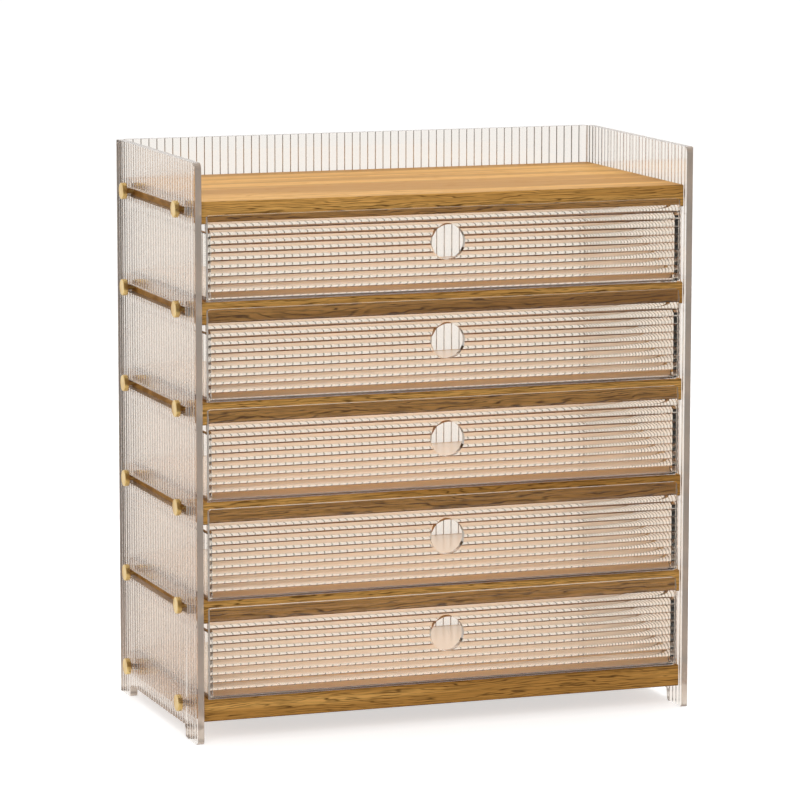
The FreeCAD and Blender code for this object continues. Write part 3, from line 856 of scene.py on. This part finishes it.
def make_floor():
    """Pale floor: it glows when seen directly, is white to rays that are mirrored or pass
    through acrylic, and mirrored it is darker in front of the organizer.
    """
    mesh = bpy.data.meshes.new("floor")
    reach = 30.0
    corners = [(-reach, -reach), (reach, -reach), (reach, reach), (-reach, reach)]
    mesh.from_pydata([(x, y, 0.0) for x, y in corners], [], [(0, 1, 2, 3)])
    floor = new_object("floor", mesh)
    finish = Finish("pale_floor", Base_Color=(0.9, 0.9, 0.9, 1.0), Roughness=0.9)
    path = finish.tree.nodes.new("ShaderNodeLightPath")
    rays = ("Is Camera Ray", "Is Glossy Ray", "Is Transmission Ray")
    direct, mirrored, through = (Link(finish, path.outputs[ray]) for ray in rays)
    finish.feed(finish.shader.inputs["Emission Color"], (1, 1, 1, 1))
    finish.feed(finish.shader.inputs["Emission Strength"], direct * 0.6)
    before = (0 - finish.add("ShaderNodeSeparateXYZ", {}, [finish.place], 1)).spread(0.15, 0.6)
    white = finish.add("ShaderNodeEmission", {}, [(1, 1, 1, 1), 1.0 - before * mirrored * 0.7])
    shaded = Link(finish, finish.shader.outputs[0])
    indirect = mirrored.maths("MAXIMUM", through)
    both = finish.add("ShaderNodeMixShader", {}, [indirect, shaded, white])
    finish.feed(finish.output.inputs["Surface"], both)
    mesh.materials.append(finish.material)


def make_world():
    """Pale room: white seen directly, weaker as the light that falls on the object.

    Every ray but a direct one finds it browner towards both sides, and a mirrored one finds
    it dark in front.
    """
    world = bpy.data.worlds.new("room")
    scene.world = world
    world.use_nodes = True
    build = Build(world.node_tree)
    path = world.node_tree.nodes.new("ShaderNodeLightPath")
    direct = Link(build, path.outputs["Is Camera Ray"])
    seen = direct
    for ray in ("Is Glossy Ray", "Is Transmission Ray"):
        seen = seen.maths("MAXIMUM", Link(build, path.outputs[ray]))
    way = build.add("ShaderNodeTexCoord", {}, [], "Generated")
    aside = build.add("ShaderNodeSeparateXYZ", {}, [way], 0).maths("ABSOLUTE").spread(0.4, 0.85)
    walls = build.mix(aside * (1 - direct), (1.0, 1.0, 1.0, 1.0), (0.66, 0.58, 0.52, 1.0))
    before = (0 - build.add("ShaderNodeSeparateXYZ", {}, [way], 1)).spread(0.0, 0.3)
    mirrored = Link(build, path.outputs["Is Glossy Ray"])
    through = Link(build, path.outputs["Is Transmission Ray"])
    walls = build.mix(before * mirrored, walls, (0.30, 0.26, 0.22, 1.0))
    back = world.node_tree.nodes["Background"]
    build.feed(back.inputs["Color"], walls)
    build.feed(back.inputs["Strength"], seen * 0.5 + 0.5 + through * 0.08)


def make_lamp(name, place, target, size, power):
    lamp = bpy.data.lights.new(name, "AREA")
    lamp.shape = "RECTANGLE"
    lamp.size, lamp.size_y = size
    lamp.energy = power
    holder = new_object(name, lamp)
    holder.location = place
    way = Vector(target) - Vector(place)
    holder.rotation_euler = way.to_track_quat("-Z", "Y").to_euler()
    holder.visible_camera = False
    holder.visible_transmission = False
    holder.visible_glossy = False


def make_camera():
    yaw, pitch, roll = (math.radians(angle) for angle in CAMERA_TURN)
    level = math.cos(pitch)
    ahead = Vector((math.sin(yaw) * level, math.cos(yaw) * level, -math.sin(pitch)))
    right = Vector((math.cos(yaw), -math.sin(yaw), 0))
    above = right.cross(ahead)
    across = right * math.cos(roll) + above * math.sin(roll)
    upward = above * math.cos(roll) - right * math.sin(roll)
    lens = bpy.data.cameras.new("camera")
    lens.sensor_width = 36.0
    lens.lens = CAMERA_LENS
    lens.clip_end = 100.0
    holder = new_object("camera", lens)
    turn = Matrix((across, upward, -ahead)).transposed().to_4x4()
    holder.matrix_world = Matrix.Translation(CAMERA_PLACE) @ turn
    scene.camera = holder


make_floor()
make_world()
make_lamp("front_softbox", (-1.3, -2.4, 1.9), (0, 0, 0.2), (1.6, 1.6), 24)
make_lamp("top_softbox", (0.4, 0.7, 2.6), (0, 0, 0.2), (2.4, 1.8), 30)
for number in range(DRAWERS):
    top = board_bottom(number + 1) * MM - SPACE_FILL_DROP
    make_lamp(
        "drawer_space_fill_%d" % (DRAWERS - number), (0, 0, top), (0, 0, 0),
        SPACE_FILL_SIZE, SPACE_FILL_POWER)
make_camera()

scene.view_settings.view_transform = "Standard"
scene.cycles.max_bounces = 40
scene.cycles.transmission_bounces = 40
scene.cycles.glossy_bounces = 12
scene.cycles.transparent_max_bounces = 40
